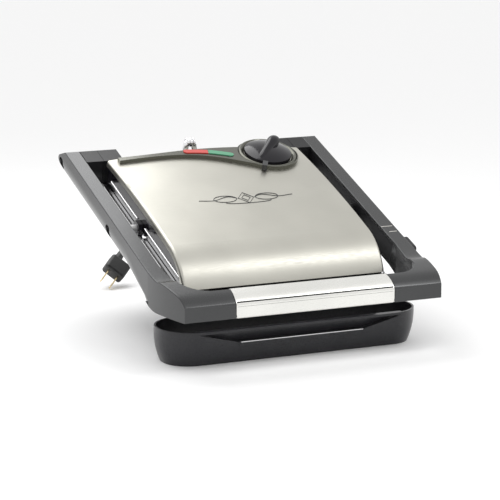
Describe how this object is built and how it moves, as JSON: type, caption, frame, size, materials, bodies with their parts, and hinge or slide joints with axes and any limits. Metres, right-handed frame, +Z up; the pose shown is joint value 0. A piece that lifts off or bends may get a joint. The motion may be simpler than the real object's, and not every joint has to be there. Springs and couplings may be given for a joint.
{
  "type": "panini press",
  "caption": "Contact grill with a hinged U-shaped handle, floating curved upper housing, thermostat knob, lamps, fold-out rear stand and loose drip tray.",
  "frame": {"origin": "middle of the footprint on the table surface, measured without the cord and plug", "axes": "+Z up, -Y towards the handle at the front, +X to the right seen from the front"},
  "size_m": [0.3104, 0.4852, 0.1897],
  "materials": {
    "black_plastic": "matte black moulded plastic",
    "gloss_black": "gloss black",
    "arm_grey": "satin metallic grey paint",
    "panel_grey": "satin olive grey",
    "tray_charcoal": "satin charcoal",
    "white_plastic": "cream heat-resistant plastic",
    "plug_plastic": "matte black",
    "cover_steel": "fine brushed",
    "grip_steel": "fine brushed, bright",
    "zinc_steel": "zinc plated",
    "element": "heat darkened",
    "polished_trim": "polished",
    "grill_plate": "dark non-stick coating",
    "shield": "mill",
    "rubber_pad": "matte",
    "cord_sheath": "matte black",
    "blade_brass": "plain",
    "red_lens": "translucent red",
    "green_lens": "translucent green",
    "lamp_glass": "clear neon lamp"
  },
  "bodies": {
    "base": {"base_shell": "black_plastic", "base_rim": "polished_trim", "bottom_cover": "black_plastic", "left_hinge_block": "black_plastic", "right_hinge_block": "black_plastic", "lower_plate": "grill_plate", "lower_element": "element", "lower_heat_shield": "shield", "spacer_posts": "zinc_steel", "terminal_block": "white_plastic", "front_legs": "black_plastic", "leg_pads": "rubber_pad", "rear_pads": "rubber_pad", "bottom_screws": "zinc_steel", "stand_lugs": "black_plastic", "stand_pin": "zinc_steel", "strain_relief": "cord_sheath", "cord_base_end": "cord_sheath", "cord_coil": "cord_sheath", "cord_plug_end": "cord_sheath", "plug_body": "plug_plastic", "plug_blades": "blade_brass"},
    "stand": {"rear_stand": "black_plastic", "stand_pads": "rubber_pad"},
    "handle": {"left_arm": "arm_grey", "right_arm": "arm_grey", "left_arm_bosses": "black_plastic", "right_arm_bosses": "black_plastic", "left_arm_liner": "black_plastic", "right_arm_liner": "black_plastic", "arm_stiffeners": "zinc_steel", "handle_rail": "zinc_steel", "grip_core": "black_plastic", "grip_sleeve": "grip_steel", "hinge_pins": "zinc_steel", "float_pins": "zinc_steel", "arm_screws": "zinc_steel", "lock_guide": "arm_grey"},
    "lock": {"lock_slider": "gloss_black"},
    "upper": {"top_cover": "cover_steel", "upper_skirt": "gloss_black", "upper_plate": "grill_plate", "upper_element": "element", "upper_heat_shield": "shield", "upper_plate_screws": "zinc_steel", "pivot_brackets": "gloss_black", "control_panel": "panel_grey", "knob_bezel": "panel_grey", "index_clip": "arm_grey", "lens_red": "red_lens", "lens_green": "green_lens", "lamp_red": "lamp_glass", "lamp_green": "lamp_glass", "thermostat": "white_plastic", "steel_conduit": "polished_trim"},
    "knob": {"knob": "gloss_black", "knob_shaft": "zinc_steel"},
    "tray": {"drip_tray": "tray_charcoal"}
  },
  "joints": [
    {"name": "handle_open", "type": "hinge", "parent": "base", "child": "handle", "pos_m": [-0.0052, 0.15699, 0.16544], "axis": [-1, 0, 0], "range_deg": [0, 95]},
    {"name": "upper_float", "type": "hinge", "parent": "handle", "child": "upper", "pos_m": [-0.0052, 0.01912, 0.11444], "axis": [1, 0, 0], "range_deg": [0, 8.6]},
    {"name": "knob_turn", "type": "hinge", "parent": "upper", "child": "knob", "pos_m": [0.0628, 0.09416, 0.17099], "axis": [0, 0.3469, -0.9379], "range_deg": [0, 270]},
    {"name": "lock_slide", "type": "slide", "parent": "handle", "child": "lock", "axis": [0, 0.9379, 0.3469], "range_m": [0, 0.012]},
    {"name": "stand_fold", "type": "hinge", "parent": "base", "child": "stand", "pos_m": [-0.0052, 0.125, 0.09337], "axis": [-1, 0, 0], "range_deg": [0, 80]},
    {"name": "tray_slide", "type": "slide", "parent": "base", "child": "tray", "axis": [0, -1, 0], "range_m": [0, 0.15]}
  ],
  "couplings": [
    {"joint": "upper_float", "follows": "handle_open", "ratio": 0.09}
  ]
}
